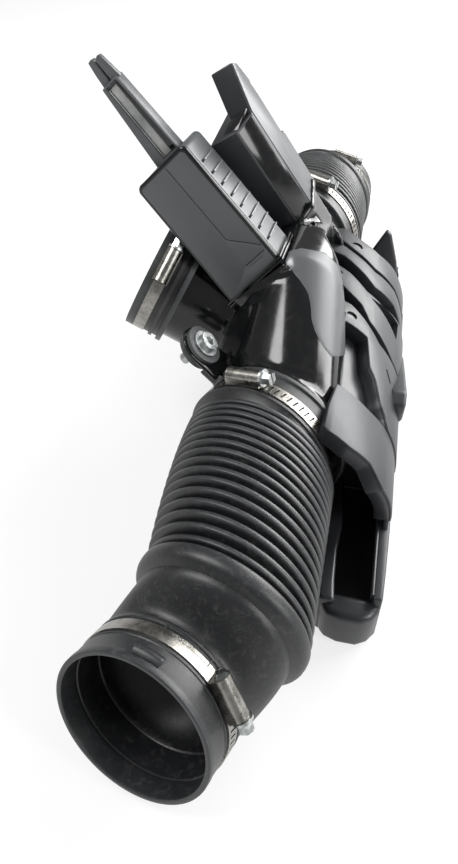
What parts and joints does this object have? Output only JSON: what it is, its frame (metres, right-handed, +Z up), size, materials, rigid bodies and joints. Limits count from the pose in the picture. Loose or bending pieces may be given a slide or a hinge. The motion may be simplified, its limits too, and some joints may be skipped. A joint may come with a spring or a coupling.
{
  "type": "air intake resonator duct",
  "caption": "Moulded air intake plenum with corrugated side hoses, a cuffed outlet, leaning resonator boxes and a ribbed side silencer.",
  "frame": {"origin": "middle of the part's footprint, on the surface it lies on", "axes": "+Y along the plenum from the nearer hose to the farther one, +X towards the side silencer, +Z up"},
  "size_m": [0.243, 0.726, 0.2986],
  "materials": {
    "plenum": "glossy moulded black",
    "silencer": "satin dark grey moulding",
    "box": "satin dark grey moulding",
    "cover": "satin dark grey with a black edge",
    "hose": "satin black rubber",
    "clamp": "bright stainless strip",
    "fastener": "zinc plated"
  },
  "bodies": {
    "root": {"plenum": "plenum", "side_silencer": "silencer", "near_resonator": "box", "near_cover": "cover", "far_resonator": "box", "far_cover": "cover", "hose_rh": "hose", "hose_lh": "hose", "outlet_cuff": "hose", "band_rh_mouth": "clamp", "housing_rh_mouth": "clamp", "screw_rh_mouth": "fastener", "band_rh_spigot": "clamp", "housing_rh_spigot": "clamp", "screw_rh_spigot": "fastener", "band_lh_spigot": "clamp", "housing_lh_spigot": "clamp", "screw_lh_spigot": "fastener", "band_lh_mouth": "clamp", "housing_lh_mouth": "clamp", "screw_lh_mouth": "fastener", "band_outlet": "clamp", "housing_outlet": "clamp", "screw_outlet": "fastener", "grommet": "hose", "sleeve": "clamp", "bolt": "fastener"}
  },
  "joints": []
}
